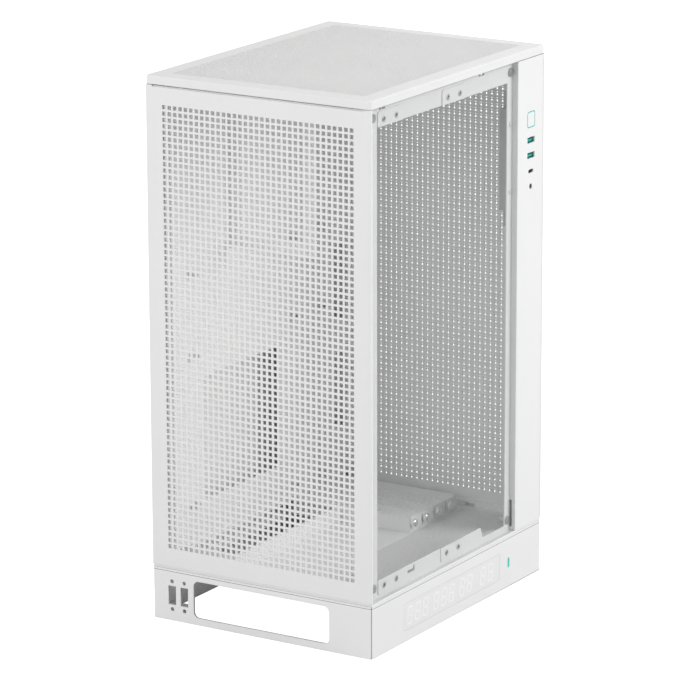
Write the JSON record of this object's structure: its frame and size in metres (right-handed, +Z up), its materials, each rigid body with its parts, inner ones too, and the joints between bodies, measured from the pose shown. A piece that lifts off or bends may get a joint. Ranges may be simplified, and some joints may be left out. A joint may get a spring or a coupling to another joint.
{
  "type": "desktop computer tower case",
  "caption": "Small white tower case for a desktop computer: perforated ends, open frame with a clear side, base with cable cut-out, expansion slots and front connector column.",
  "frame": {"origin": "middle of the footprint, on the surface that the case stands on", "axes": "+X to the clear side with the connectors, -Y to the rear, +Y to the front, +Z up"},
  "size_m": [0.22, 0.289, 0.475],
  "materials": {
    "white_steel": "fine powder coat, satin white",
    "white_plastic": "satin white moulded plastic",
    "grey_plastic": "light grey moulded plastic",
    "display_white": "white translucent window",
    "light_guide": "unlit milky light guides",
    "circuit_board": "green solder mask",
    "teal_plastic": "teal moulded plastic",
    "rubber_grey": "soft grey rubber",
    "zinc_steel": "zinc plated",
    "white_screw": "painted screw head",
    "chrome_screw": "bright nickel plate",
    "clear_glass": "clear toughened glass",
    "clip_plastic": "natural nylon",
    "connector_steel": "plated connector shell",
    "black_plastic": "black connector plastic"
  },
  "bodies": {
    "chassis": {"audio_jack": "black_plastic", "base_skirt": "white_plastic", "board_standoffs": "zinc_steel", "button_ring": "teal_plastic", "connector_deck": "white_steel", "display_board": "circuit_board", "display_digits": "light_guide", "display_window": "display_white", "floor_pan": "white_steel", "foot_pads": "rubber_grey", "front_grille": "white_steel", "glass_catches": "clip_plastic", "io_board": "circuit_board", "io_column": "white_plastic", "io_housing": "grey_plastic", "motherboard_tray": "white_steel", "plate_rivets": "zinc_steel", "post_front_left": "white_steel", "post_front_right": "white_steel", "post_rear_left": "white_steel", "post_rear_right": "white_steel", "power_switch": "black_plastic", "rail_bottom_front": "white_steel", "rail_bottom_left": "white_steel", "rail_bottom_rear": "white_steel", "rail_bottom_right": "white_steel", "rail_plates": "white_steel", "rail_screws": "white_screw", "rail_top_front": "white_steel", "rail_top_left": "white_steel", "rail_top_rear": "white_steel", "rail_top_right": "white_steel", "right_catches": "clip_plastic", "slot_frame": "white_steel", "status_mark": "teal_plastic", "supply_bracket": "white_steel", "usb_a_shells": "connector_steel", "usb_a_tongues": "teal_plastic", "usb_c_shell": "connector_steel", "usb_c_tongue": "black_plastic"},
    "glass_side": {"glass_panel": "clear_glass", "glass_studs": "zinc_steel"},
    "lid": {"top_lid": "white_steel", "lid_pegs": "clip_plastic"},
    "rear_cover": {"rear_panel": "white_steel", "rear_clips": "clip_plastic"},
    "front_cover": {"front_panel": "white_steel", "front_clips": "clip_plastic"},
    "right_cover": {"right_panel": "white_steel", "right_studs": "zinc_steel"},
    "power_cap": {"power_button": "white_plastic"},
    "cover_1": {"slot_cover_1": "white_steel"},
    "screw_1": {"thumbscrew_1": "chrome_screw"},
    "cover_2": {"slot_cover_2": "white_steel"},
    "screw_2": {"thumbscrew_2": "chrome_screw"},
    "cover_3": {"slot_cover_3": "white_steel"},
    "screw_3": {"thumbscrew_3": "chrome_screw"},
    "cover_4": {"slot_cover_4": "white_steel"},
    "screw_4": {"thumbscrew_4": "chrome_screw"}
  },
  "joints": [
    {"name": "glass_pull_off", "type": "slide", "parent": "chassis", "child": "glass_side", "axis": [1, 0, 0], "range_m": [0, 0.06]},
    {"name": "lid_lift_off", "type": "slide", "parent": "chassis", "child": "lid", "axis": [0, 0, 1], "range_m": [0, 0.05]},
    {"name": "rear_pull_off", "type": "slide", "parent": "chassis", "child": "rear_cover", "axis": [0, -1, 0], "range_m": [0, 0.05]},
    {"name": "front_pull_off", "type": "slide", "parent": "chassis", "child": "front_cover", "axis": [0, 1, 0], "range_m": [0, 0.05]},
    {"name": "right_pull_off", "type": "slide", "parent": "chassis", "child": "right_cover", "axis": [-1, 0, 0], "range_m": [0, 0.06]},
    {"name": "power_press", "type": "slide", "parent": "chassis", "child": "power_cap", "axis": [-1, 0, 0], "range_m": [0, 0.001], "stiffness_N_per_m": 900, "springref_m": -0.0006},
    {"name": "cover_1_release", "type": "slide", "parent": "chassis", "child": "cover_1", "axis": [1, 0, 0], "range_m": [0, 0.012]},
    {"name": "screw_1_turn", "type": "hinge", "parent": "cover_1", "child": "screw_1", "pos_m": [0.0348, 0.04746, 0.0574], "axis": [1, 0, 0], "continuous": true},
    {"name": "cover_2_release", "type": "slide", "parent": "chassis", "child": "cover_2", "axis": [1, 0, 0], "range_m": [0, 0.012]},
    {"name": "screw_2_turn", "type": "hinge", "parent": "cover_2", "child": "screw_2", "pos_m": [0.0348, 0.06778, 0.0574], "axis": [1, 0, 0], "continuous": true},
    {"name": "cover_3_release", "type": "slide", "parent": "chassis", "child": "cover_3", "axis": [1, 0, 0], "range_m": [0, 0.012]},
    {"name": "screw_3_turn", "type": "hinge", "parent": "cover_3", "child": "screw_3", "pos_m": [0.0348, 0.0881, 0.0574], "axis": [1, 0, 0], "continuous": true},
    {"name": "cover_4_release", "type": "slide", "parent": "chassis", "child": "cover_4", "axis": [1, 0, 0], "range_m": [0, 0.012]},
    {"name": "screw_4_turn", "type": "hinge", "parent": "cover_4", "child": "screw_4", "pos_m": [0.0348, 0.10842, 0.0574], "axis": [1, 0, 0], "continuous": true}
  ]
}
